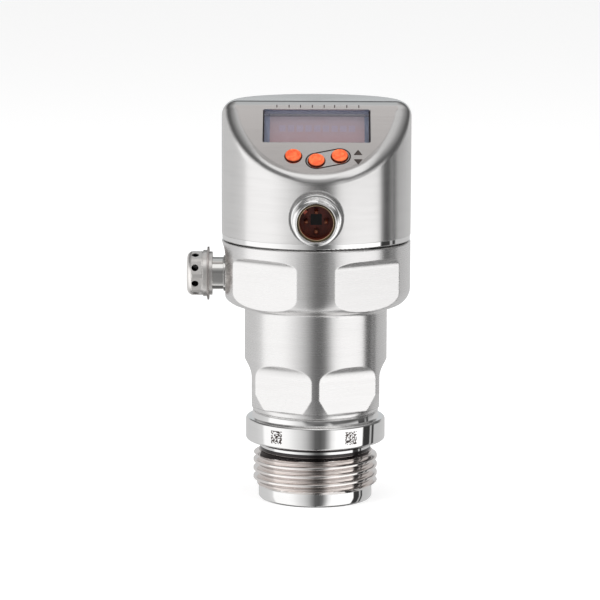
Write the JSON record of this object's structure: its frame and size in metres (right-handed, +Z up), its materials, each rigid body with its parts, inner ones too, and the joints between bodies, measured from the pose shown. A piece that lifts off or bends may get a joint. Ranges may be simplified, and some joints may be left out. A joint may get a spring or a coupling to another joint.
{
  "type": "pressure transmitter",
  "caption": "Stainless steel pressure transmitter with a swivelling display head, push buttons, a round plug and a flush threaded process fitting.",
  "frame": {"origin": "centre of the flush measuring face at the lower end", "axes": "+Z up along the main axis, -Y towards the plug and the slanted display panel, -X towards the vent"},
  "size_m": [0.0594, 0.0606, 0.1068],
  "materials": {
    "satin_steel": "satin, finely brushed",
    "polished_steel": "polished stainless steel",
    "ceramic": "smooth white ceramic",
    "seal_rubber": "matte",
    "circuit_board": "solder-masked board",
    "membrane": "matte",
    "display_glass": "clear, slightly tinted",
    "display_plastic": "matte",
    "brass": "bright",
    "connector_plastic": "matte",
    "gold_contact": "gold-plated",
    "button_orange": "matte"
  },
  "bodies": {
    "base": {"process_fitting": "polished_steel", "measuring_cell": "ceramic", "cell_seal": "seal_rubber", "cell_clamp_ring": "polished_steel", "housing_body": "satin_steel", "sensor_board": "circuit_board", "vent_stub": "polished_steel", "vent_ring": "polished_steel", "vent_disc": "polished_steel", "vent_membrane": "membrane", "vent_cap": "polished_steel"},
    "head": {"head_shell": "satin_steel", "seam_ring": "polished_steel", "head_seal": "seal_rubber", "swivel_clip": "polished_steel", "display_window": "display_glass", "window_gasket": "seal_rubber", "display_module": "display_plastic", "display_board": "circuit_board", "board_posts": "brass", "button_switches": "display_plastic", "connector_shell": "polished_steel", "connector_insert": "connector_plastic", "contact_pins": "gold_contact", "main_board": "circuit_board"},
    "button_left": {"button_left": "button_orange"},
    "button_middle": {"button_middle": "button_orange"},
    "button_right": {"button_right": "button_orange"}
  },
  "joints": [
    {"name": "head_swivel", "type": "hinge", "parent": "base", "child": "head", "pos_m": [0, 0, 0.0684], "axis": [0, 0, 1], "range_deg": [-172.5, 172.5]},
    {"name": "press_left", "type": "slide", "parent": "head", "child": "button_left", "axis": [0, 0.6561, -0.7547], "range_m": [0, 0.0005], "stiffness_N_per_m": 2000, "springref_m": -0.0002},
    {"name": "press_middle", "type": "slide", "parent": "head", "child": "button_middle", "axis": [0, 0.6561, -0.7547], "range_m": [0, 0.0005], "stiffness_N_per_m": 2000, "springref_m": -0.0002},
    {"name": "press_right", "type": "slide", "parent": "head", "child": "button_right", "axis": [0, 0.6561, -0.7547], "range_m": [0, 0.0005], "stiffness_N_per_m": 2000, "springref_m": -0.0002}
  ]
}
